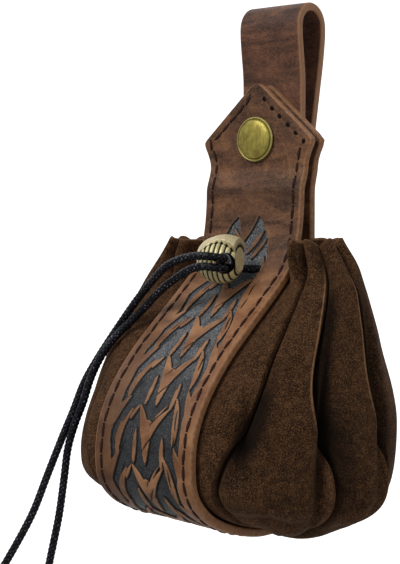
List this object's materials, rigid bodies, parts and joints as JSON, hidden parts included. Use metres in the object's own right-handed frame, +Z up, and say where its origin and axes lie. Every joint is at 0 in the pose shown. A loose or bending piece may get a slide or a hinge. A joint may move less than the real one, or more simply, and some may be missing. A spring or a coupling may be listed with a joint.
{
  "type": "medieval belt pouch",
  "caption": "Leather belt pouch: tooled strip folded front to back, gathered suede sides, belt loop behind, snap closure and a drawstring with a metal bead.",
  "frame": {"origin": "the middle of the inner top of the belt loop, where the pouch hangs on the belt", "axes": "+Z up, -Y towards the tooled front, +X to the right as seen from the front"},
  "size_m": [0.1244, 0.0881, 0.2045],
  "materials": {
    "tooled_leather": "satin, reddish brown, tooled and stained",
    "loop_leather": "satin, reddish brown",
    "suede": "dark brown napped suede",
    "antique_brass": "antique, worn satin",
    "bead_brass": "antique, dark in the grooves",
    "waxed_cord": "black braided, waxed"
  },
  "bodies": {
    "root": {"leather_strip": "tooled_leather", "gusset_right": "suede", "gusset_left": "suede", "belt_loop": "loop_leather", "snap_cap": "antique_brass", "snap_stud": "antique_brass", "loop_rivet": "antique_brass", "cord_bead": "bead_brass", "drawstring": "waxed_cord", "cord_end_left": "waxed_cord", "cord_end_right": "waxed_cord", "knot_left": "waxed_cord", "knot_right": "waxed_cord"}
  },
  "joints": []
}
